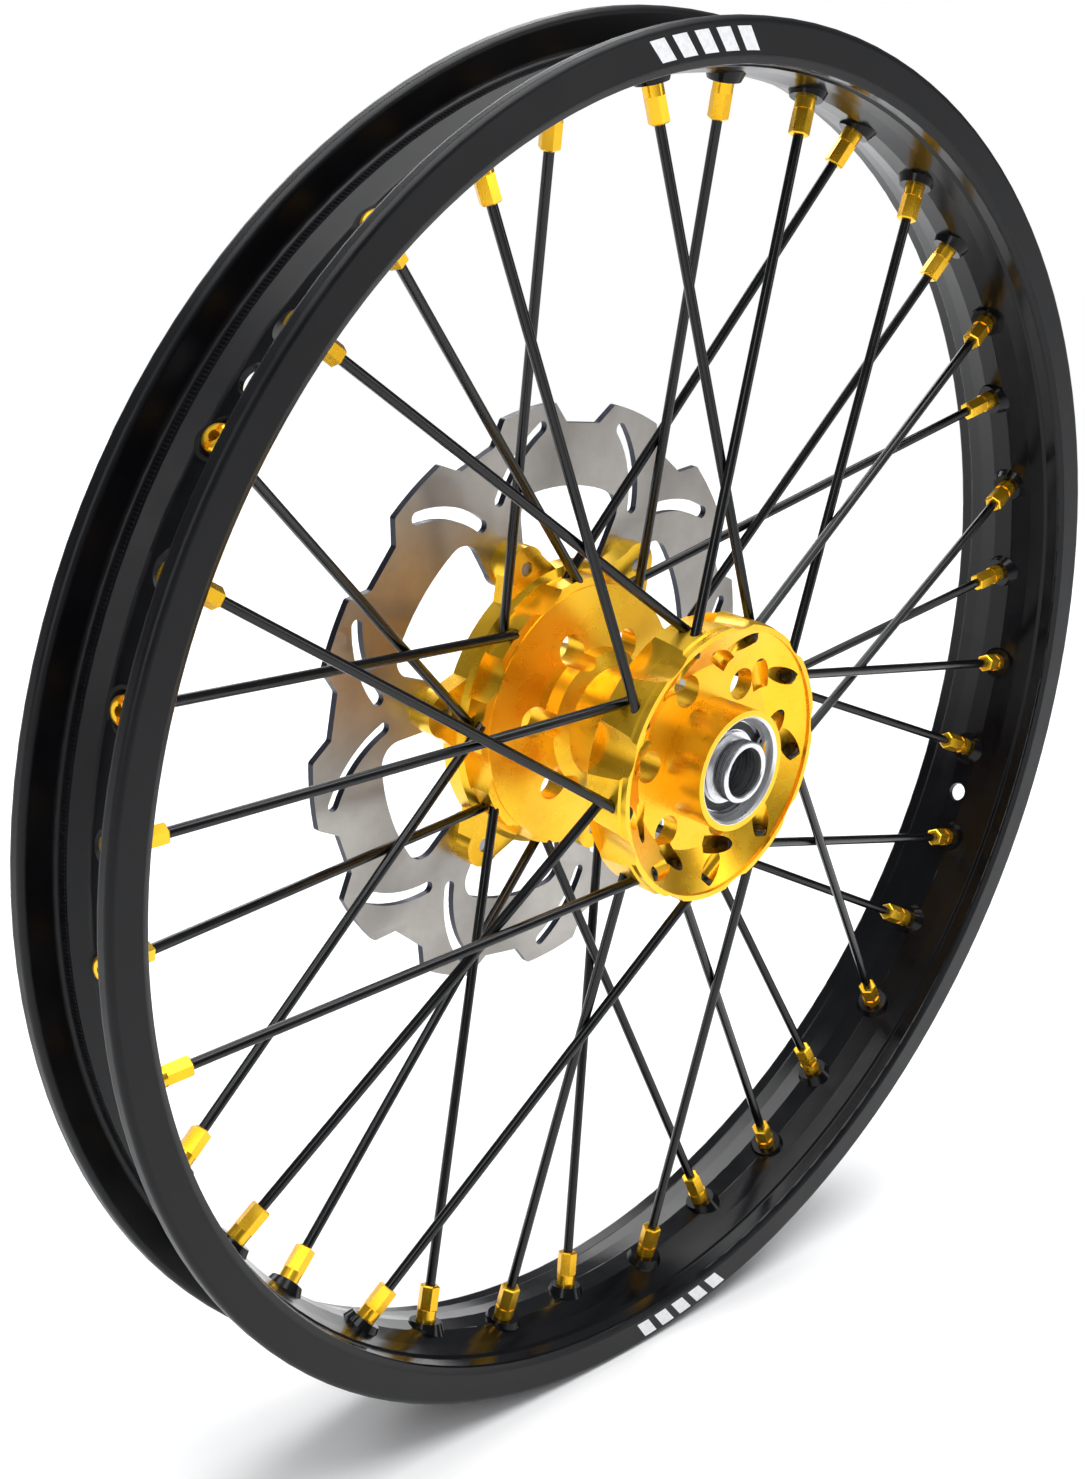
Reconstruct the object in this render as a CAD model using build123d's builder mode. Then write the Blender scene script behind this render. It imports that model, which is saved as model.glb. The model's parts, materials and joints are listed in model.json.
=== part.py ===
"""Spoked motorcycle front wheel: laced rim, billet hub, brake disc and axle bearings.

Millimetres.  The wheel spins about the Y axis, +Z is up and the brake disc is on the +Y side.
The origin is the wheel's centre, where the axle's axis meets the rim's middle plane.
"near" is the bare side at -Y and "far" is the disc side at +Y.
Angles around the wheel are in degrees from +X towards +Z.
"""
from build123d import *
from math import cos, radians, sin, tan
import os

# ---- rim, 21 inch by 1.60 inch ----
rim_outer_r = 279.0
rim_width = 56.0
bead_width = 40.6            # between the two tyre flanges
flange_height = 13.6         # from the bead seat to the flange's top
side_band_height = 15.0      # flat band on each outer side
well_depth = 4.9             # from the bead seat down to the well's tyre side
well_wall = 3.0
well_half_width = 8.0        # half width of the well's flat floor
well_ridge = 4.6             # half width of the well's flat inner face
bead_seat_width = 6.9        # from the flange's foot to where the slope to the well starts
bead_seat_lip, bead_seat_fall = 1.2, 0.4  # the seat's inner edge, rounded over towards the well
shoulder_rise = 2.2          # hub side: the well's slope up to the shoulder
band_step, band_step_width = 1.6, 1.4     # step inside each side band
groove_top, groove_foot = 2.0, 3.0        # fine groove inside the step, below the band's inner edge
groove_width, groove_shift = 1.2, 0.8     # its width, and how far it starts outside the bead
flange_round, band_round, bead_round = 2.6, 1.2, 2.0
seat_round, well_round, slope_round = 0.8, 3.0, 6.0
ridge_round, groove_round, step_round = 2.0, 0.6, 1.0
valve_hole_r, valve_angle = 4.2, -17.14
rim_lock_hole_r, rim_lock_angle = 6.2, 142.86

# ---- spokes and nipples ----
spoke_r = 2.0
spoke_pairs = 9              # pairs on each flange
spoke_lean = 30.0            # a pair's two spokes end this far either side of it
spoke_pair_clearance = 0.7   # half the gap along Y between a pair's two spokes at the flange
crossing_clearance = 0.13    # half the gap where spokes of neighbouring pairs cross
near_pair_angle, far_pair_angle = 27.86, 17.86
near_row_y, far_row_y = -3.9, 0.9         # nipple rows on the rim
spoke_head_lip, spoke_head_height = 1.4, 2.6     # the head stands this far out round the spoke
spoke_head_round = 0.9
outer_head_depth, inner_head_depth = 7.0, 15.0   # from the flange's outside back to the head's seat
head_pocket_length = 16.0    # from the head's seat on into the hub
nipple_wall, nipple_head_lip = 2.0, 1.3
nipple_head_height, nipple_dome = 2.4, 2.0
nipple_collar_length = 4.6
nipple_length = 16.9         # from the rim's inner face to the tip
nipple_flat_wall = 1.6       # from the spoke to each flat of the hexagon
nipple_slot = 1.5
seat_pad_lip, seat_pad_height, seat_pad_flare = 1.3, 2.2, 1.9 # raised pad under each nipple
pad_root_cover = 0.4         # wall left over the pad's sunk foot
seat_recess_flare, seat_recess_depth = 3.6, 4.0               # punched recess under its head

# ---- hub ----
drum_r = 57.4                # both spoke flanges
near_face_y, near_drum_back_y = -44.0, -22.5
far_face_y, carrier_back_y, carrier_face_y = 31.5, 43.0, 52.0
near_spoke_y, far_spoke_y = -34.5, 37.3
carrier_lip = 3.1            # the disc carrier behind the far flange stands out this far
near_boss_face_y, far_boss_face_y = -53.0, 51.0
boss_wall, barrel_wall, collar_lip = 3.6, 5.66, 5.0
boss_chamfer = 0.9
drum_lip, dish_depth, web = 3.0, 10.0, 7.0       # lip round each dished face, dish and web
far_web_step = 5.5           # the far web lies this much deeper than its dish
web_hole_count, web_hole_r, web_hole_angle = 6, 6.6, 56.0
web_hole_wall, dish_root = 1.76, 5.5             # boss to hole, and hole circle to the dish's foot
flange_edge, flange_edge_height = 0.8, 2.6       # turned step round the near flange's face
flange_chamfer, flange_back = 2.0, 7.0           # the near flange's back edge and its flat back
near_dish_lip = 1.7
far_face_edge, far_face_step = 0.2, 0.8          # turned step round the far flange's face
collar_length, collar_slope, collar_gap = 6.5, 4.0, 4.5       # collar before the far flange
carrier_rim, carrier_rim_height = 1.0, 6.5       # lip round the far dish
scallop_r, scallop_depth, scallop_tilt = 17.0, 3.6, 7.0

# ---- brake disc and its bolts ----
disc_r = 125.0
disc_thickness = 3.0
disc_band = 35.0             # from the outer edge to the windows
disc_face_y = 56.0
notch_count, notch_angle, notch_depth = 12, 24.6, 8.8
notch_mouth, notch_floor = 18.8, 9.6      # widths in degrees
notch_round = 1.6
disc_bolt_count, disc_bolt_angle, disc_bolt_circle_r = 6, 54.4, 67.5
disc_tab_r, disc_tab_root, window_corner_r = 10.5, 15.5, 9.0
disc_slot_width = 5.4
open_slot_angles, open_slot_bow = (12.8, 5.6, -1.0), 2.1      # from the rim inwards
closed_slot_angles, closed_slot_bow = (36.6, 44.3, 51.4), 1.2
slot_margin, open_slot_reach, closed_slot_wall = 9.0, 1.0, 4.0
disc_boss_r, disc_boss_root, disc_boss_step = 9.4, 17.0, 0.6
bolt_r, bolt_length = 3.0, 14.0
bolt_head_r, bolt_head_height, bolt_head_round = 5.6, 3.4, 1.8
bolt_socket, bolt_socket_depth = 4.0, 2.04

# ---- bearings, spacers and circlips ----
axle_r = 10.0
bearing_bore_r, bearing_outer_r, bearing_width = 12.5, 21.0, 9.0
near_bearing_y, far_bearing_y = -46.4, 44.4       # outward faces of the two bearings
bearing_shoulder = 2.7                   # step in the hub that an outer ring rests on
race_floor, race_depth = 1.55, 1.15      # ring wall left under a ball groove, and its depth
ball_count, race_gap = 14, 0.3
cage_wall, cage_edge = 1.4, 0.8
seal_thickness = 0.7
near_spacer_end_y, far_spacer_end_y = -55.5, 60.5
spacer_flange_r, spacer_flange_thickness = 14.4, 1.2
distance_tube_wall = 4.6
circlip_thickness, circlip_width, circlip_depth = 1.75, 3.2, 1.2
circlip_gap_angle, circlip_lug_r, circlip_eye_r = 40.0, 2.3, 0.9
circlip_lug_angle, circlip_lug_gap = 4.0, 0.2
edge_chamfer = 0.5           # spacer ends and nipple tips

# ---- clearances ----
fit_gap = 0.04               # close fit between parts that don't move
hole_gap = 0.15              # spoke and nipple holes
running_gap = 0.35           # between parts that turn past each other
cut_overrun = 8.0            # how far a drilling tool starts outside the wall
overlap = 1.0                # how far joined shapes run into each other

# ---- worked out from the sizes above ----
half_width = rim_width / 2
half_bead = bead_width / 2
bead_r = rim_outer_r - flange_height
well_tyre_r = bead_r - well_depth
well_inner_r = well_tyre_r - well_wall
band_inner_r = rim_outer_r - side_band_height
shoulder_half_width = half_bead - bead_seat_width
seat_z = seat_pad_height - well_wall
pad_root = well_wall - pad_root_cover
flange_top_round = min(flange_round, 0.4 * (half_width - half_bead))
spoke_pair_gap = spoke_r + spoke_pair_clearance
half_pitch = radians(180 / spoke_pairs)
flange_side = drum_r * sin(half_pitch)
rim_side = well_inner_r * sin(radians(spoke_lean) - half_pitch)
crossing = flange_side / (flange_side + rim_side)     # share of a spoke's run up to the crossing
row_stagger = (spoke_r + crossing_clearance - spoke_pair_gap * (1 - crossing)) / crossing
spoke_head_r = spoke_r + spoke_head_lip
nipple_shank_r = spoke_r + nipple_wall
nipple_head_r = nipple_shank_r + nipple_head_lip
seat_pad_r = nipple_head_r + seat_pad_lip
hub_seat_r = bearing_outer_r + fit_gap
boss_r = hub_seat_r + boss_wall
shoulder_bore_r = hub_seat_r - bearing_shoulder
barrel_r = shoulder_bore_r + barrel_wall
collar_r = barrel_r + collar_lip
carrier_r = drum_r + carrier_lip
web_hole_circle_r = boss_r + web_hole_wall + web_hole_r
dish_root_r = web_hole_circle_r + dish_root
dish_edge_r = drum_r - drum_lip
near_web_y = near_face_y + dish_depth
far_web_y = carrier_face_y - dish_depth - far_web_step
far_collar_y = far_face_y - collar_gap
carrier_thickness = carrier_face_y - carrier_back_y - overlap
window_r = disc_r - disc_band
tab_round = min(window_corner_r, 0.5 * abs(window_r - disc_bolt_circle_r))

os.makedirs("parts", exist_ok=True)


def across(y):
    """The plane square to the axle at this y, seen from the -Y side."""
    return Plane.XZ.offset(-y)


def polar(radius, angle):
    return (radius * cos(radians(angle)), radius * sin(radians(angle)))


def on_circle(radius, angle, y):
    x, z = polar(radius, angle)
    return Vector(x, y, z)


def plane_along(point, direction):
    return Plane(origin=point, x_dir=direction.cross(Vector(0, 1, 0)), z_dir=direction)


def spoke_runs(pair_angle, flange_y, row_y, outward):
    """Each spoke's point on the flange, its point on the rim and the depth of its head."""
    runs = []
    for pair in range(spoke_pairs):
        angle = pair_angle + pair * 360 / spoke_pairs
        for lean, shift, depth in ((-spoke_lean, outward, outer_head_depth),
                                   (spoke_lean, -outward, inner_head_depth)):
            start = on_circle(drum_r, angle, flange_y + shift * spoke_pair_gap)
            end = on_circle(well_inner_r, angle + lean, row_y + shift * row_stagger)
            runs.append((start, end, depth))
    return runs


def write(builder, name):
    builder.part.label = name
    export_step(builder.part, "parts/" + name + ".step")


runs = {
    "near": spoke_runs(near_pair_angle, near_spoke_y, near_row_y, -1),
    "far": spoke_runs(far_pair_angle, far_spoke_y, far_row_y, 1),
}
seats = {side: [plane_along(end, start - end) for start, end, depth in runs[side]] for side in runs}
all_seats = seats["near"] + seats["far"]
inwards = (Align.CENTER, Align.CENTER, Align.MAX)
outwards = (Align.CENTER, Align.CENTER, Align.MIN)

# ---- rim: one revolved section, with a punched seat for each nipple ----
tyre_side = [
    (band_inner_r + band_step, half_width),
    (rim_outer_r, half_width),
    (rim_outer_r, half_bead),
    (bead_r, half_bead),
    (bead_r - bead_seat_fall, shoulder_half_width + bead_seat_lip),
    (well_tyre_r, well_half_width),
]
tyre_side_radii = [band_round, flange_top_round, flange_top_round, bead_round, seat_round, well_round]
hub_side = [
    (well_inner_r, well_ridge),
    (well_inner_r + shoulder_rise, shoulder_half_width),
    (band_inner_r - groove_foot, half_bead + groove_shift - groove_width),
    (band_inner_r - groove_top, half_bead + groove_shift),
    (band_inner_r - band_step, half_width - band_step_width),
]
hub_side_radii = [ridge_round, slope_round, groove_round, groove_round, step_round]
section = tyre_side + [(r, -y) for r, y in reversed(tyre_side)]
section += [(r, -y) for r, y in reversed(hub_side)] + hub_side
section_radii = tyre_side_radii + tyre_side_radii[::-1] + hub_side_radii[::-1] + hub_side_radii

with BuildPart() as rim:
    with BuildSketch(Plane.XY):
        with BuildLine():
            FilletPolyline(*section, radius=section_radii, close=True)
        make_face()
    revolve(axis=Axis.Y)
    with Locations(*[seat.offset(-pad_root) for seat in all_seats]):
        Cone(seat_pad_r + seat_pad_flare, seat_pad_r, seat_pad_height + pad_root, align=outwards)
    with Locations(*[seat.offset(seat_z) for seat in all_seats]):
        Cone(nipple_head_r + seat_recess_flare, nipple_head_r + running_gap, seat_recess_depth,
             align=inwards, mode=Mode.SUBTRACT)
        Cylinder(nipple_shank_r + hole_gap, 2 * cut_overrun, mode=Mode.SUBTRACT)
    for angle, radius in ((valve_angle, valve_hole_r), (rim_lock_angle, rim_lock_hole_r)):
        centre = on_circle(well_inner_r, angle, 0)
        with Locations(plane_along(centre, centre)):
            Cylinder(radius, 2 * cut_overrun, mode=Mode.SUBTRACT)
write(rim, "rim")

# ---- spokes: straight, with a round head inside the flange and the far end in its nipple ----
for side in runs:
    for number, (start, end, depth) in enumerate(runs[side], 1):
        head_seat = plane_along(start, end - start).offset(-depth)
        with BuildPart() as spoke:
            with BuildSketch(head_seat):
                Circle(spoke_r)
            extrude(amount=(end - start).length + depth)
            with BuildSketch(head_seat):
                Circle(spoke_head_r)
            extrude(amount=-spoke_head_height)
            head_edges = spoke.edges().filter_by(GeomType.CIRCLE).filter_by(
                lambda edge: edge.radius > spoke_r + hole_gap)
            fillet(head_edges, min(spoke_head_round, 0.7 * spoke_head_lip))
        write(spoke, "{}_spoke_{:02d}".format(side, number))

# ---- nipples: slotted dome on the tyre side, round collar and hexagon towards the hub ----
collar_end = seat_pad_height + nipple_collar_length
with BuildPart() as nipple:
    with BuildSketch(Plane.XY.offset(seat_z - fit_gap)):
        Circle(nipple_head_r)
    extrude(amount=-nipple_head_height - nipple_dome)
    fillet(nipple.edges().group_by(Axis.Z)[0], min(nipple_dome, 0.8 * nipple_head_r))
    with BuildSketch(Plane.XY.offset(seat_z - fit_gap)):
        Circle(nipple_shank_r)
    extrude(amount=collar_end - seat_z + fit_gap)
    with BuildSketch(Plane.XY.offset(collar_end)):
        RegularPolygon(spoke_r + nipple_flat_wall, 6, major_radius=False)
    extrude(amount=nipple_length - collar_end)
    chamfer(nipple.edges().group_by(Axis.Z)[-1], edge_chamfer)
    with Locations((0, 0, seat_z - nipple_head_height - nipple_dome)):
        Box(3 * nipple_head_r, nipple_slot, 2 * nipple_slot, mode=Mode.SUBTRACT)
    Cylinder(spoke_r + fit_gap, 4 * nipple_length, mode=Mode.SUBTRACT)
for side in seats:
    with BuildPart() as nipple_row:
        with Locations(*seats[side]):
            add(nipple.part)
    write(nipple_row, side + "_nipples")

# ---- hub: revolved body, disc carrier with its bosses, scallops, web holes and spoke holes ----
near_side = [
    (shoulder_bore_r, near_bearing_y + bearing_width),
    (hub_seat_r, near_bearing_y + bearing_width),
    (hub_seat_r, near_boss_face_y + boss_chamfer),
    (hub_seat_r + boss_chamfer, near_boss_face_y),
    (boss_r, near_boss_face_y),
    (boss_r, near_web_y),
    (dish_root_r, near_web_y),
    (dish_edge_r, near_face_y + near_dish_lip),
    (dish_edge_r, near_face_y),
    (drum_r - flange_edge, near_face_y),
    (drum_r - flange_edge, near_face_y + flange_edge_height),
    (drum_r, near_face_y + flange_edge_height + flange_edge),
    (drum_r, near_drum_back_y - flange_chamfer),
    (drum_r - flange_chamfer, near_drum_back_y),
    (drum_r - flange_back, near_drum_back_y),
    (dish_root_r, near_web_y + web),
    (collar_r, near_web_y + web),
    (barrel_r, near_web_y + 2 * web),
]
far_side = [
    (barrel_r, far_collar_y - collar_length - collar_slope),
    (collar_r, far_collar_y - collar_length),
    (collar_r, far_collar_y),
    (dish_edge_r - far_face_edge, far_face_y),
    (dish_edge_r - far_face_edge, far_face_y + far_face_step),
    (drum_r, far_face_y + 2 * far_face_step - far_face_edge),
    (drum_r, carrier_back_y - overlap),
    (carrier_r, carrier_back_y + overlap),
    (carrier_r, carrier_face_y),
    (dish_edge_r - carrier_rim, carrier_face_y),
    (dish_edge_r - carrier_rim, carrier_face_y - carrier_rim_height),
    (dish_root_r, far_web_y),
    (boss_r, far_web_y),
    (boss_r, far_boss_face_y),
    (hub_seat_r + boss_chamfer, far_boss_face_y),
    (hub_seat_r, far_boss_face_y - boss_chamfer),
    (hub_seat_r, far_bearing_y - bearing_width),
    (shoulder_bore_r, far_bearing_y - bearing_width),
]
near_scallop_length = near_drum_back_y - near_face_y + 2 * overlap
far_scallop_length = carrier_back_y - far_face_y - overlap
scallops = (
    (near_pair_angle, (near_face_y + near_drum_back_y) / 2, scallop_tilt, near_scallop_length),
    (far_pair_angle, (far_face_y + carrier_back_y) / 2, 0.0, far_scallop_length),
)
boss_end_r = disc_bolt_circle_r + overlap
boss_end = (disc_boss_r ** 2 - overlap ** 2) ** 0.5
with BuildPart() as hub:
    with BuildSketch(Plane.XY):
        Polygon(*near_side, *far_side)
    revolve(axis=Axis.Y)
    with BuildSketch(across(carrier_face_y)):
        with PolarLocations(disc_bolt_circle_r, disc_bolt_count, disc_bolt_angle):
            Circle(disc_boss_r)
        with PolarLocations(0, disc_bolt_count, disc_bolt_angle):
            Polygon((dish_edge_r, -disc_boss_root), (boss_end_r, -boss_end), (boss_end_r, boss_end),
                    (dish_edge_r, disc_boss_root))
    extrude(amount=carrier_thickness)
    with BuildSketch(across(disc_face_y)):
        with PolarLocations(disc_bolt_circle_r, disc_bolt_count, disc_bolt_angle):
            Circle(disc_boss_r - disc_boss_step)
    extrude(amount=disc_face_y - carrier_face_y + overlap)
    with BuildSketch(across(disc_face_y)):
        with PolarLocations(disc_bolt_circle_r, disc_bolt_count, disc_bolt_angle):
            Circle(bolt_r + fit_gap)
    extrude(amount=disc_face_y - carrier_back_y, mode=Mode.SUBTRACT)
    with BuildSketch(across(far_boss_face_y)):
        with PolarLocations(web_hole_circle_r, web_hole_count, web_hole_angle):
            Circle(web_hole_r)
    extrude(amount=far_boss_face_y - near_boss_face_y, mode=Mode.SUBTRACT)
    for pair_angle, middle_y, tilt, length in scallops:
        for pair in range(spoke_pairs):
            angle = pair_angle + (pair + 0.5) * 360 / spoke_pairs
            centre = on_circle(drum_r + scallop_r - scallop_depth, angle, middle_y)
            along = Vector(0, 1, 0) - on_circle(tan(radians(tilt)), angle, 0)
            with Locations(Plane(origin=centre, z_dir=along)):
                Cylinder(scallop_r, length, mode=Mode.SUBTRACT)
    for start, end, depth in runs["near"] + runs["far"]:
        spoke_plane = plane_along(start, end - start)
        with Locations(spoke_plane.offset(cut_overrun)):
            Cylinder(spoke_r + hole_gap, cut_overrun + depth + overlap, align=inwards, mode=Mode.SUBTRACT)
        with Locations(spoke_plane.offset(-depth)):
            Cylinder(spoke_head_r + running_gap, head_pocket_length, align=inwards, mode=Mode.SUBTRACT)
    for face_y, outward in ((near_bearing_y, -1), (far_bearing_y, 1)):
        with BuildSketch(across(face_y + outward * circlip_thickness)):
            Circle(hub_seat_r + circlip_depth + fit_gap)
        extrude(amount=outward * (circlip_thickness + fit_gap), mode=Mode.SUBTRACT)
write(hub, "hub")

# ---- brake disc: wavy ring with curved slots and a tab for each bolt ----
notch_top_r = disc_r + 3 * overlap
notch_floor_r = disc_r - notch_depth
slot_outer_r = disc_r - slot_margin
slot_shapes = (
    (open_slot_angles, window_r - open_slot_reach, open_slot_bow),
    (closed_slot_angles, window_r + closed_slot_wall, closed_slot_bow),
)
with BuildPart() as brake_disc:
    with BuildSketch(across(disc_face_y + disc_thickness)) as disc_face:
        Circle(disc_r)
        Circle(window_r, mode=Mode.SUBTRACT)
        with PolarLocations(0, disc_bolt_count, disc_bolt_angle):
            Polygon((disc_bolt_circle_r, -disc_tab_r), (window_r + 2 * overlap, -disc_tab_root),
                    (window_r + 2 * overlap, disc_tab_root), (disc_bolt_circle_r, disc_tab_r))
        tab_roots = disc_face.vertices().filter_by(lambda v: abs(Vector(v.X, v.Y).length - window_r) < fit_gap)
        fillet(tab_roots, tab_round)
        with PolarLocations(disc_bolt_circle_r, disc_bolt_count, disc_bolt_angle):
            Circle(disc_tab_r)
        with PolarLocations(0, notch_count, notch_angle):
            Polygon(polar(notch_top_r, -notch_mouth / 2), polar(notch_floor_r, -notch_floor / 2),
                    polar(notch_floor_r, notch_floor / 2), polar(notch_top_r, notch_mouth / 2),
                    mode=Mode.SUBTRACT)
        notch_corners = disc_face.vertices().filter_by(
            lambda v: Vector(v.X, v.Y).length > notch_floor_r - overlap)
        fillet(notch_corners, notch_round)
        with PolarLocations(disc_bolt_circle_r, disc_bolt_count, disc_bolt_angle):
            Circle(bolt_r + hole_gap, mode=Mode.SUBTRACT)
    extrude(amount=disc_thickness)
    with BuildSketch(across(disc_face_y + disc_thickness)):
        for (outer_angle, middle_angle, inner_angle), slot_inner_r, bow in slot_shapes:
            slot_middle_r = (slot_outer_r + slot_inner_r) / 2 + bow
            with BuildLine(mode=Mode.PRIVATE) as slot_line:
                ThreePointArc(polar(slot_outer_r, outer_angle), polar(slot_middle_r, middle_angle),
                              polar(slot_inner_r, inner_angle))
            with PolarLocations(0, disc_bolt_count):
                SlotArc(slot_line.edge(), disc_slot_width)
    extrude(amount=disc_thickness, mode=Mode.SUBTRACT)
write(brake_disc, "brake_disc")

with BuildPart() as disc_bolts:
    with BuildSketch(across(disc_face_y + disc_thickness)):
        with PolarLocations(disc_bolt_circle_r, disc_bolt_count, disc_bolt_angle):
            Circle(bolt_head_r)
    extrude(amount=-bolt_head_height)
    fillet(disc_bolts.edges().group_by(Axis.Y)[-1], min(bolt_head_round, 0.7 * bolt_head_height))
    with BuildSketch(across(disc_face_y + disc_thickness)):
        with PolarLocations(disc_bolt_circle_r, disc_bolt_count, disc_bolt_angle):
            Circle(bolt_r)
    extrude(amount=bolt_length)
    with BuildSketch(across(disc_face_y + disc_thickness + bolt_head_height)):
        with PolarLocations(disc_bolt_circle_r, disc_bolt_count, disc_bolt_angle):
            RegularPolygon(bolt_socket / 2, 6, major_radius=False)
    extrude(amount=bolt_socket_depth, mode=Mode.SUBTRACT)
write(disc_bolts, "disc_bolts")

# ---- bearing sets: rings, balls, cage, seals, circlip and spacer of each side ----
# The balls fill what the rings' walls and the seals leave them.
pitch_r = (bearing_bore_r + bearing_outer_r) / 2
groove_r = min(pitch_r - bearing_bore_r - race_floor, bearing_width / 2 - seal_thickness - cage_edge)
ball_r = groove_r - race_gap
inner_ring_r = pitch_r - groove_r + race_depth
outer_ring_bore_r = pitch_r + groove_r - race_depth


def ring(inner_r, outer_r, y_one, y_two):
    """A plain ring about the axle; used inside a BuildSketch on Plane.XY."""
    return Polygon((inner_r, y_one), (outer_r, y_one), (outer_r, y_two), (inner_r, y_two))


for side, face_y, spacer_end_y, outward in (
        ("near", near_bearing_y, near_spacer_end_y, -1), ("far", far_bearing_y, far_spacer_end_y, 1)):
    back_y = face_y - outward * bearing_width
    middle_y = (face_y + back_y) / 2
    ring_sizes = (("inner", bearing_bore_r, inner_ring_r), ("outer", outer_ring_bore_r, bearing_outer_r))
    for ring_name, inner_r, outer_r in ring_sizes:
        with BuildPart() as bearing_ring:
            with BuildSketch(Plane.XY):
                ring(inner_r, outer_r, back_y, face_y)
                with Locations((pitch_r, middle_y)):
                    Circle(groove_r, mode=Mode.SUBTRACT)
            revolve(axis=Axis.Y)
        write(bearing_ring, side + "_bearing_" + ring_name + "_ring")

    with BuildPart() as balls:
        with Locations(across(middle_y)):
            with PolarLocations(pitch_r, ball_count):
                Sphere(ball_r)
    write(balls, side + "_bearing_balls")

    with BuildPart() as cage:
        with BuildSketch(Plane.XY):
            reach = ball_r + cage_edge
            ring(pitch_r - cage_wall / 2, pitch_r + cage_wall / 2, middle_y - reach, middle_y + reach)
        revolve(axis=Axis.Y)
        with Locations(across(middle_y)):
            with PolarLocations(pitch_r, ball_count):
                Cylinder(ball_r + fit_gap, 4 * cage_wall, rotation=(0, 90, 0), mode=Mode.SUBTRACT)
    write(cage, side + "_bearing_cage")

    with BuildPart() as seals:
        with BuildSketch(Plane.XY):
            for y in (face_y, back_y + outward * seal_thickness):
                ring(inner_ring_r + running_gap, outer_ring_bore_r - fit_gap, y, y - outward * seal_thickness)
        revolve(axis=Axis.Y)
    write(seals, side + "_bearing_seals")

    with BuildPart() as circlip:
        with BuildSketch(across(face_y + outward * circlip_thickness)) as circlip_face:
            Circle(hub_seat_r + circlip_depth)
            Circle(hub_seat_r + circlip_depth - circlip_width, mode=Mode.SUBTRACT)
            Polygon((0, 0), polar(2 * hub_seat_r, -circlip_gap_angle / 2),
                    polar(2 * hub_seat_r, circlip_gap_angle / 2), mode=Mode.SUBTRACT)
            lug_centre_r = hub_seat_r - circlip_lug_r - circlip_lug_gap
            lug_angle = circlip_gap_angle / 2 + circlip_lug_angle
            for angle in (-lug_angle, lug_angle):
                with Locations(polar(lug_centre_r, angle)):
                    Circle(circlip_lug_r)
                    Circle(circlip_eye_r, mode=Mode.SUBTRACT)
        extrude(amount=outward * circlip_thickness)
    write(circlip, side + "_circlip")

    with BuildPart() as spacer:
        with BuildSketch(Plane.XY):
            ring(axle_r, bearing_bore_r - fit_gap, spacer_end_y, back_y + outward * running_gap)
            ring(axle_r, spacer_flange_r, face_y, face_y + outward * spacer_flange_thickness)
        revolve(axis=Axis.Y)
        end_edges = spacer.edges().group_by(Axis.Y)[0 if outward < 0 else -1]
        chamfer(end_edges, edge_chamfer)
    write(spacer, side + "_spacer")

with BuildPart() as distance_tube:
    with BuildSketch(Plane.XY):
        ring(axle_r, axle_r + distance_tube_wall,
             near_bearing_y + bearing_width, far_bearing_y - bearing_width)
    revolve(axis=Axis.Y)
write(distance_tube, "distance_tube")
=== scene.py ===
"""Looks for the spoked wheel: materials, fine detail, floor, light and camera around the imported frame."""
import json
import math

import bmesh
import bpy
from mathutils import Matrix, Vector


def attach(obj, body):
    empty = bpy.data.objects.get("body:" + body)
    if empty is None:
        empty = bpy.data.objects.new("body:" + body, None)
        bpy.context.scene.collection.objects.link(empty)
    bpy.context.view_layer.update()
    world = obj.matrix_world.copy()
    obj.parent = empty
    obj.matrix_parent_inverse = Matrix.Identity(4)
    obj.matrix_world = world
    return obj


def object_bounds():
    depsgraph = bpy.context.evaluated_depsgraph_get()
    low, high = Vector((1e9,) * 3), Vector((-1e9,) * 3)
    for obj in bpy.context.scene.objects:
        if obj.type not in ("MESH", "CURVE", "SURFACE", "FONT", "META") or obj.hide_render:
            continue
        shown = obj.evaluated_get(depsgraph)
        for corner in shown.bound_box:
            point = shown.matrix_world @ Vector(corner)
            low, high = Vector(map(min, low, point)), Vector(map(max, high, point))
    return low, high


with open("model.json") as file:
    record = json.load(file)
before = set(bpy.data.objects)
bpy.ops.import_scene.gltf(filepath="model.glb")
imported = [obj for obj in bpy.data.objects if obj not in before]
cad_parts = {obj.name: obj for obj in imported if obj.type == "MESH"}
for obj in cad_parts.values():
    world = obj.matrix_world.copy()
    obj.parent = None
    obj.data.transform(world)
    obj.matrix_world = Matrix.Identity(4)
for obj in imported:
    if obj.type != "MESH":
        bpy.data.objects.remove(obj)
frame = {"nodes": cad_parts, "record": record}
cad_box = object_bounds()
nodes = frame["nodes"]
MM = 0.001

# Where a noise value starts and stops to tint or dull a surface.
CLOUD = (0.3, 0.7)
GRAIN = (0.35, 0.65)


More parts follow.
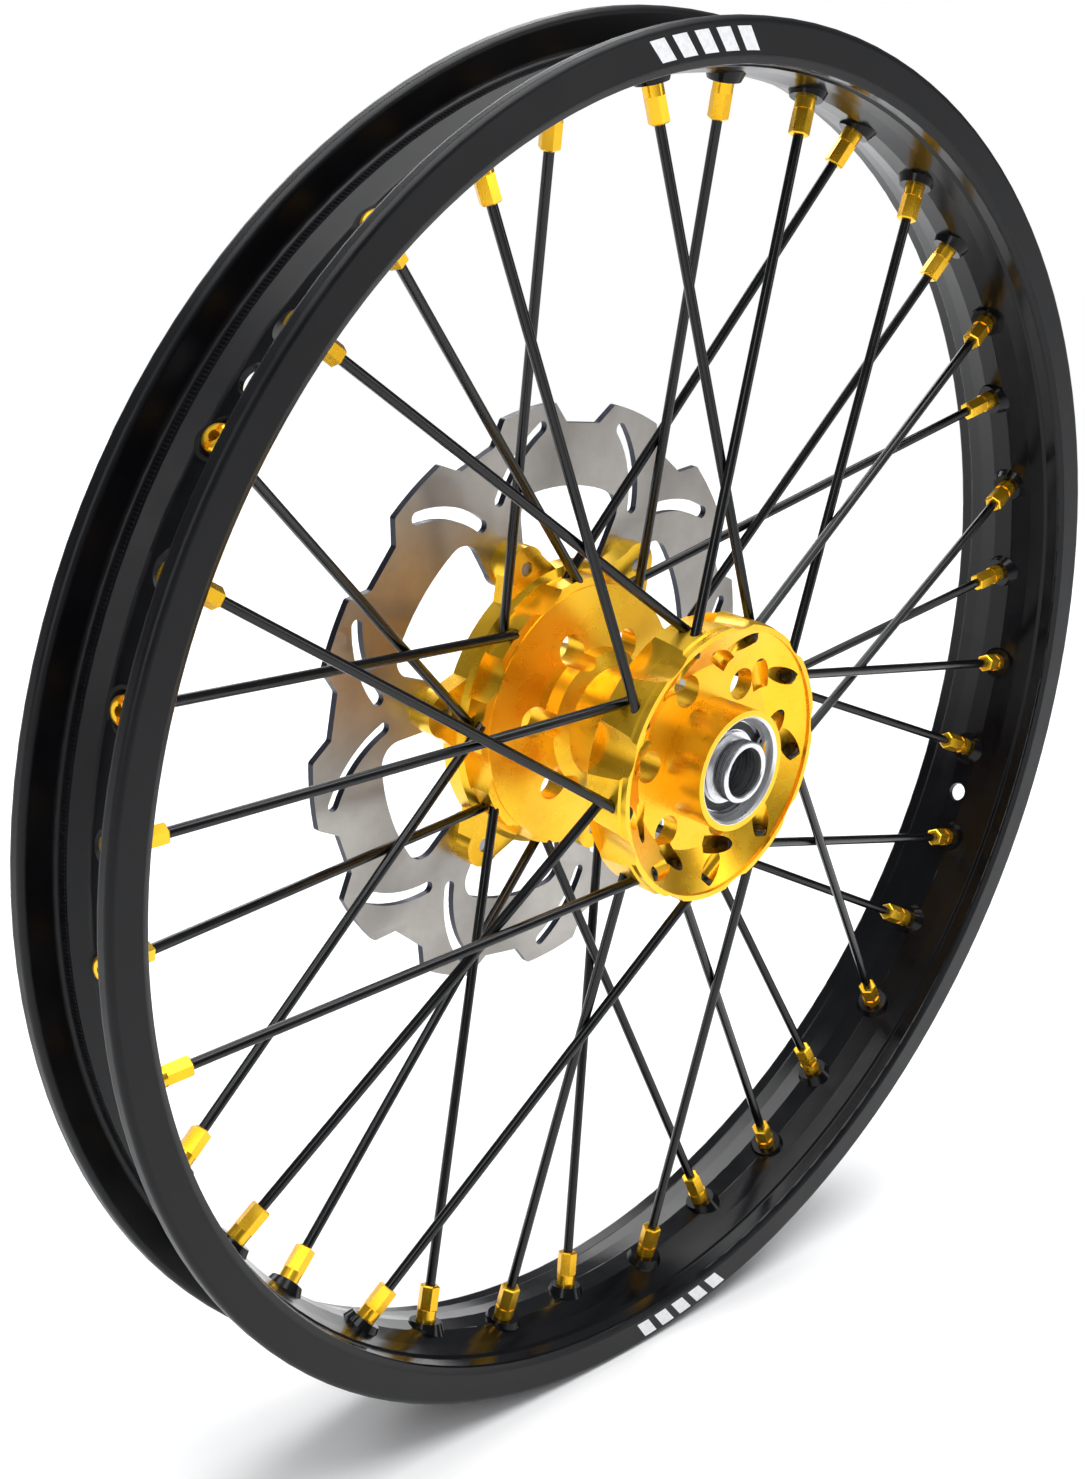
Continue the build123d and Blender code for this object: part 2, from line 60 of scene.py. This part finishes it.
# ---------------------------------------------------------------- camera
def place_camera():
    """The camera looks at the wheel from its bare side, a little above the axle, rolled slightly."""
    azimuth, elevation, roll = math.radians(-47.41), math.radians(18.77), math.radians(5.09)
    distance, right_offset, up_offset = 0.90372, 0.03945, 0.00261
    focal_length, sensor_height = 54.36, 36.0
    right = Vector((math.cos(azimuth), math.sin(azimuth), 0))
    back = Vector((math.sin(azimuth) * math.cos(elevation),
                   -math.cos(azimuth) * math.cos(elevation), math.sin(elevation)))
    up = back.cross(right)
    rolled_right = math.cos(roll) * right + math.sin(roll) * up
    rolled_up = -math.sin(roll) * right + math.cos(roll) * up
    data = bpy.data.cameras.new("camera")
    data.sensor_fit = "VERTICAL"
    data.sensor_height = sensor_height
    data.lens = focal_length
    data.clip_start, data.clip_end = 0.05, 50
    camera = bpy.data.objects.new("camera", data)
    bpy.context.scene.collection.objects.link(camera)
    turn = Matrix((rolled_right, rolled_up, back)).transposed()
    place = -right_offset * rolled_right - up_offset * rolled_up + distance * back
    camera.matrix_world = Matrix.Translation(place) @ turn.to_4x4()
    bpy.context.scene.camera = camera


# ---------------------------------------------------------------- node helpers
class Nodes:
    """A material's node tree with short helpers for adding nodes and joining them."""

    def __init__(self, name, specular=None):
        self.material = bpy.data.materials.new(name)
        self.material.use_nodes = True
        self.tree = self.material.node_tree
        self.shader = self.tree.nodes["Principled BSDF"]
        if specular is not None:
            self.shader.inputs["Specular IOR Level"].default_value = specular

    def add(self, kind, **settings):
        node = self.tree.nodes.new(kind)
        for key, value in settings.items():
            setattr(node, key, value)
        return node

    def link(self, source, target):
        self.tree.links.new(source, target)

    def math(self, operation, first, second=None):
        node = self.add("ShaderNodeMath", operation=operation)
        for socket, value in zip(node.inputs, (first, second)):
            if isinstance(value, (int, float)):
                socket.default_value = value
            elif value is not None:
                self.link(value, socket)
        return node.outputs[0]

    def smooth_step(self, value, low, high, to_low=0.0, to_high=1.0):
        node = self.add("ShaderNodeMapRange", interpolation_type="SMOOTHSTEP")
        self.link(value, node.inputs["Value"])
        for key, number in (("From Min", low), ("From Max", high), ("To Min", to_low), ("To Max", to_high)):
            node.inputs[key].default_value = number
        return node.outputs[0]

    def position(self):
        """The place on the object, in metres."""
        return self.add("ShaderNodeTexCoord").outputs["Object"]

    def split(self, vector):
        node = self.add("ShaderNodeSeparateXYZ")
        self.link(vector, node.inputs[0])
        return node.outputs

    def axle_place(self, position):
        """Radius from the axle and distance along it, both in metres."""
        x, y, z = self.split(position)
        radius = self.math("SQRT", self.math("ADD", self.math("MULTIPLY", x, x), self.math("MULTIPLY", z, z)))
        return radius, y

    def noise(self, position, scale, detail=4.0, roughness=0.55, stretch=None):
        if stretch:
            mapping = self.add("ShaderNodeMapping")
            mapping.inputs["Scale"].default_value = stretch
            self.link(position, mapping.inputs[0])
            position = mapping.outputs[0]
        node = self.add("ShaderNodeTexNoise")
        node.inputs["Scale"].default_value = scale
        node.inputs["Detail"].default_value = detail
        node.inputs["Roughness"].default_value = roughness
        self.link(position, node.inputs["Vector"])
        return node.outputs["Fac"]

    def marks(self, position, stretch):
        """Fine tooling marks: noise drawn out to the number of them per metre along each axis."""
        return self.noise(position, 1.0, 3.0, 0.6, stretch)

    def mix(self, factor, first, second):
        node = self.add("ShaderNodeMix", data_type="RGBA")
        self.link(factor, node.inputs["Factor"])
        for socket, value in ((node.inputs[6], first), (node.inputs[7], second)):
            if isinstance(value, tuple):
                socket.default_value = (*value, 1)
            else:
                self.link(value, socket)
        return node.outputs[2]

    def bump(self, height, strength, distance):
        node = self.add("ShaderNodeBump")
        node.inputs["Strength"].default_value = strength
        node.inputs["Distance"].default_value = distance
        self.link(height, node.inputs["Height"])
        return node.outputs[0]

    def set(self, **values):
        for key, value in values.items():
            socket = self.shader.inputs[key.replace("_", " ")]
            if isinstance(value, tuple):
                socket.default_value = (*value, 1)
            elif isinstance(value, (int, float)):
                socket.default_value = value
            else:
                self.link(value, socket)


# ---------------------------------------------------------------- materials
def anodised_black():
    """Rim: glossy towards the hub, satin on its side bands and where the tyre sits."""
    band_start, band_full = 27.2 * MM, 27.9 * MM
    well_half_width, well_radius, wall_slope, wall_blend = 8.0 * MM, 259.2 * MM, 0.28, 0.6 * MM
    glossy, satin_extra = (0.14, 0.22), 0.2
    n = Nodes("rim_black", specular=0.21)
    position = n.position()
    radius, y = n.axle_place(position)
    side = n.math("ABSOLUTE", y)
    band = n.smooth_step(side, band_start, band_full)
    past_well = n.math("SUBTRACT", side, well_half_width)
    wall_rise = n.math("MAXIMUM", n.math("MULTIPLY", past_well, wall_slope), 0.0)
    above_wall = n.math("SUBTRACT", n.math("SUBTRACT", radius, wall_rise), well_radius)
    satin = n.math("MAXIMUM", band, n.smooth_step(above_wall, 0.0, wall_blend))
    cloud = n.noise(position, 40.0)
    fine = n.noise(position, 900.0, 2.0)
    turned = n.marks(position, (25.0, 1800.0, 25.0))
    colour = n.mix(n.smooth_step(cloud, *CLOUD), (0.0016, 0.0017, 0.0024), (0.0030, 0.0031, 0.0040))
    roughness = n.math("ADD", n.smooth_step(cloud, *CLOUD, *glossy), n.math("MULTIPLY", satin, satin_extra))
    relief = n.math("ADD", fine, turned)
    n.set(Base_Color=colour, Metallic=0.0, Roughness=roughness, Normal=n.bump(relief, 0.08, 0.05 * MM))
    return n.material


def coated_black():
    """Spokes: satin black coat with a fine skin."""
    satin = (0.18, 0.27)
    n = Nodes("spoke_black", specular=0.36)
    position = n.position()
    cloud = n.noise(position, 120.0)
    skin = n.noise(position, 1500.0, 2.0)
    n.set(Base_Color=n.mix(n.smooth_step(cloud, *GRAIN), (0.0015, 0.0015, 0.0018), (0.003, 0.003, 0.0035)),
          Metallic=0.0, Roughness=n.smooth_step(cloud, *CLOUD, *satin), Normal=n.bump(skin, 0.12, 0.04 * MM))
    return n.material


def anodised_gold():
    """Hub and nipples: gold dye over turned aluminium, bare inside the bearing boss."""
    bare_radius, bare_side, blend = 22.1 * MM, 30.0 * MM, (0.1 * MM, 1.0 * MM)
    satin, cloud_range = (0.24, 0.33), (0.25, 0.75)
    n = Nodes("anodised_gold")
    position = n.position()
    radius, y = n.axle_place(position)
    cloud = n.noise(position, 55.0)
    gold = n.mix(n.smooth_step(cloud, *CLOUD), (0.93, 0.495, 0.017), (0.96, 0.575, 0.036))
    within_boss = n.smooth_step(radius, bare_radius, bare_radius + blend[0], 1.0, 0.0)
    near_its_end = n.smooth_step(n.math("ABSOLUTE", y), bare_side, bare_side + blend[1])
    colour = n.mix(n.math("MULTIPLY", within_boss, near_its_end), gold, (0.80, 0.80, 0.81))
    rings = n.marks(position, (60.0, 2600.0, 60.0))
    n.set(Base_Color=colour, Metallic=0.88, Roughness=n.smooth_step(cloud, *cloud_range, *satin),
          Normal=n.bump(rings, 0.10, 0.04 * MM))
    return n.material


def ground_steel():
    """Brake disc: cross-ground faces with a faint warm tint, and dark laser-cut edges."""
    edge_from, edge_to = 0.5, 0.8            # how far a surface faces along the axle
    ground = (0.28, 0.42)
    n = Nodes("disc_steel")
    position = n.position()
    facing = n.split(n.add("ShaderNodeTexCoord").outputs["Normal"])[1]
    edge = n.smooth_step(n.math("ABSOLUTE", facing), edge_from, edge_to, 1.0, 0.0)
    one_way = n.marks(position, (1800.0, 40.0, 90.0))
    other_way = n.marks(position, (120.0, 40.0, 1500.0))
    grain = n.math("MULTIPLY", n.math("ADD", one_way, other_way), 0.5)
    cloud = n.noise(position, 22.0)
    steel = n.mix(n.smooth_step(cloud, *CLOUD), (0.35, 0.325, 0.30), (0.46, 0.44, 0.41))
    n.set(Base_Color=n.mix(edge, steel, (0.035, 0.037, 0.05)), Metallic=0.95,
          Roughness=n.smooth_step(grain, *GRAIN, *ground), Normal=n.bump(grain, 0.25, 0.06 * MM))
    return n.material


def turned_metal(name, colour, low, high):
    """Metal with fine turning rings across its surface, between two roughnesses."""
    n = Nodes(name)
    position = n.position()
    rings = n.marks(position, (40.0, 2200.0, 40.0))
    cloud = n.noise(position, 150.0)
    darker = tuple(c * 0.86 for c in colour)
    n.set(Base_Color=n.mix(n.smooth_step(cloud, *CLOUD), colour, darker), Metallic=1.0,
          Roughness=n.smooth_step(rings, *CLOUD, low, high), Normal=n.bump(rings, 0.2, 0.05 * MM))
    return n.material


def moulded(name, colour, low, high, grain):
    """Moulded rubber or plastic with a fine skin, between two roughnesses."""
    n = Nodes(name)
    skin = n.noise(n.position(), grain, 3.0)
    darker = tuple(c * 0.7 for c in colour)
    n.set(Base_Color=n.mix(n.smooth_step(skin, *GRAIN), colour, darker), Metallic=0.0,
          Roughness=n.smooth_step(skin, *CLOUD, low, high), Normal=n.bump(skin, 0.3, 0.06 * MM))
    return n.material


def printed_white():
    """The marks on the side band: thin white print."""
    n = Nodes("mark_white")
    ink = n.noise(n.position(), 700.0, 3.0)
    n.set(Base_Color=n.mix(n.smooth_step(ink, *GRAIN), (0.74, 0.75, 0.76), (0.84, 0.84, 0.85)),
          Metallic=0.0, Roughness=n.smooth_step(ink, *CLOUD, 0.4, 0.55), Normal=n.bump(ink, 0.15, 0.03 * MM))
    return n.material


def make_materials():
    return {
        "rim_black": anodised_black(),
        "spoke_black": coated_black(),
        "anodised_gold": anodised_gold(),
        "disc_steel": ground_steel(),
        "bolt_steel": turned_metal("bolt_steel", (0.36, 0.36, 0.38), 0.25, 0.4),
        "spacer_aluminium": turned_metal("spacer_aluminium", (0.78, 0.78, 0.79), 0.2, 0.34),
        "bearing_steel": turned_metal("bearing_steel", (0.62, 0.62, 0.64), 0.1, 0.2),
        "circlip_steel": turned_metal("circlip_steel", (0.2, 0.2, 0.21), 0.3, 0.45),
        "cage_plastic": moulded("cage_plastic", (0.5, 0.42, 0.28), 0.4, 0.55, 800.0),
        "seal_rubber": moulded("seal_rubber", (0.018, 0.018, 0.02), 0.45, 0.65, 1200.0),
    }


def dress_cad_nodes(materials):
    """Each CAD node gets its slot's material."""
    slot_of = {part["node"]: part["material_slot"] for part in frame["record"]["subparts"]}
    for name, node in nodes.items():
        node.data.materials.clear()
        node.data.materials.append(materials[slot_of[name]])


# ---------------------------------------------------------------- fine detail of the rim
def mesh_piece(name, points, faces, material):
    """A piece built point by point, which turns with the wheel."""
    mesh = bpy.data.meshes.new(name)
    mesh.from_pydata(points, [], faces)
    mesh.materials.append(material)
    piece = bpy.data.objects.new(name, mesh)
    bpy.context.scene.collection.objects.link(piece)
    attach(piece, "wheel")


def around(radius, y, angle):
    return (radius * math.cos(angle), y, radius * math.sin(angle))


def rim_radius(y):
    """Radius of the rim's tyre side, measured on the frame's rim."""
    far_out = 2 * cad_box[1][2]
    return nodes["rim"].ray_cast(Vector((0, y, far_out)), Vector((0, 0, -1)))[1].z


def seat_ribs(material):
    """The fine cross ribs rolled into both bead seats, which stop the tyre creeping."""
    seat_edges, pitch = (15.4 * MM, 18.4 * MM), 1.6 * MM
    height, sunk, slope = 0.25 * MM, 0.3 * MM, 0.3 * MM
    lift_of_step = (0.0, height, height, 0.0)
    steps = len(lift_of_step)
    for name, side in (("near_seat_ribs", -1), ("far_seat_ribs", 1)):
        inner_y, outer_y = (side * y for y in seat_edges)
        inner_r, outer_r = rim_radius(inner_y), rim_radius(outer_y)
        count = steps * round(2 * math.pi * inner_r / pitch)
        points = []
        for step in range(count):
            angle = 2 * math.pi * step / count
            lift = lift_of_step[step % steps]
            points += [around(inner_r - sunk, inner_y, angle),
                       around(inner_r + lift, inner_y + side * slope, angle),
                       around(outer_r + lift, outer_y - side * slope, angle),
                       around(outer_r - sunk, outer_y, angle)]
        corners = 4
        faces = []
        for step in range(count):
            here, there = corners * step, corners * ((step + 1) % count)
            for corner in range(corners):
                after = (corner + 1) % corners
                face = (here + corner, there + corner, there + after, here + after)
                faces.append(face if side > 0 else face[::-1])
        mesh_piece(name, points, faces, material)


def bar_mesh(start, bar_angle, slant_angle, layers):
    """One slanted bar of the marks, in degrees round the rim: its points and faces."""
    low_r, high_r, arc_steps = 267.2 * MM, 275.6 * MM, 4
    points = []
    for y in layers:
        for step in range(arc_steps + 1):
            for r, lean in ((low_r, 0.0), (high_r, slant_angle)):
                points.append(around(r, y, math.radians(start + lean + bar_angle * step / arc_steps)))
    back = 2 * (arc_steps + 1)
    last = back - 2
    faces = [(0, back, back + 1, 1), (last, last + 1, back + last + 1, back + last)]
    for a in range(0, last, 2):
        faces += [(a, a + 1, a + 3, a + 2),
                  (back + a, back + a + 2, back + a + 3, back + a + 1),
                  (a, a + 2, back + a + 2, back + a),
                  (a + 1, back + a + 1, back + a + 3, a + 3)]
    return points, faces


def band_marks(material):
    """Two groups of plain slanted bars printed on the near side band."""
    band_y = min(corner[1] for corner in nodes["rim"].bound_box)
    proud, sunk = 0.05 * MM, 0.1 * MM
    bars, bar_angle, gap_angle, slant_angle = 5, 1.55, 0.85, 1.3
    group_angle = bars * bar_angle + (bars - 1) * gap_angle + slant_angle
    for group, middle in (("upper", 97.6), ("lower", -82.4)):
        for bar in range(bars):
            start = middle - group_angle / 2 + bar * (bar_angle + gap_angle)
            points, faces = bar_mesh(start, bar_angle, slant_angle, (band_y - proud, band_y + sunk))
            mesh_piece("%s_mark_%d" % (group, bar + 1), points, faces, material)


# ---------------------------------------------------------------- floor and light
def lay_floor():
    """A round white floor just under the rim."""
    radius, gap, segments = 1.9, 0.2 * MM, 96
    bm = bmesh.new()
    bmesh.ops.create_circle(bm, cap_ends=True, segments=segments, radius=radius,
                            matrix=Matrix.Translation((0, 0, cad_box[0][2] - gap)))
    mesh = bpy.data.meshes.new("floor")
    bm.to_mesh(mesh)
    bm.free()
    floor = bpy.data.objects.new("floor", mesh)
    bpy.context.scene.collection.objects.link(floor)
    n = Nodes("floor_white", specular=0.1)
    paper = n.noise(n.position(), 30.0)
    n.set(Base_Color=n.mix(paper, (0.93, 0.93, 0.93), (0.95, 0.95, 0.95)), Roughness=0.9)
    mesh.materials.append(n.material)


def light_world():
    """White behind the wheel, and for reflections a dim room that is dark at eye level."""
    below, eye_level, above = (0.85, 0.85, 0.86, 1), (0.10, 0.105, 0.115, 1), (0.42, 0.44, 0.47, 1)
    world = bpy.data.worlds.new("studio")
    bpy.context.scene.world = world
    world.use_nodes = True
    tree = world.node_tree
    split = tree.nodes.new("ShaderNodeSeparateXYZ")
    tree.links.new(tree.nodes.new("ShaderNodeTexCoord").outputs["Generated"], split.inputs[0])
    height = tree.nodes.new("ShaderNodeMapRange")
    height.inputs["From Min"].default_value = -1
    tree.links.new(split.outputs[2], height.inputs["Value"])
    ramp = tree.nodes.new("ShaderNodeValToRGB")
    stops = ramp.color_ramp.elements
    stops[0].position, stops[0].color = 0.48, below
    stops[1].position, stops[1].color = 1.0, above
    stops.new(0.53).color = eye_level
    tree.links.new(height.outputs[0], ramp.inputs[0])
    mix = tree.nodes.new("ShaderNodeMix")
    mix.data_type = "RGBA"
    tree.links.new(tree.nodes.new("ShaderNodeLightPath").outputs["Is Camera Ray"], mix.inputs["Factor"])
    tree.links.new(ramp.outputs[0], mix.inputs[6])
    mix.inputs[7].default_value = (1, 1, 1, 1)
    tree.links.new(mix.outputs[2], tree.nodes["Background"].inputs["Color"])


def hang_lamps():
    """A large softbox overhead, and smaller ones around for the black parts' highlights."""
    for name, place, width, height, power in (
            ("overhead", (0.0, -0.1, 2.3), 2.6, 2.6, 98),
            ("left", (-2.1, -0.6, 0.9), 0.7, 1.6, 14),
            ("right", (1.5, -1.9, 0.8), 0.6, 1.6, 9),
            ("behind", (0.9, 2.2, 1.2), 1.8, 1.0, 24)):
        light = bpy.data.lights.new(name, "AREA")
        light.shape, light.size, light.size_y, light.energy = "RECTANGLE", width, height, power
        lamp = bpy.data.objects.new(name, light)
        bpy.context.scene.collection.objects.link(lamp)
        lamp.location = place
        lamp.rotation_euler = (-Vector(place)).to_track_quat("-Z", "Y").to_euler()


place_camera()
materials = make_materials()
dress_cad_nodes(materials)
seat_ribs(materials["rim_black"])
band_marks(printed_white())
lay_floor()
light_world()
hang_lamps()
bpy.context.scene.view_settings.view_transform = "Standard"
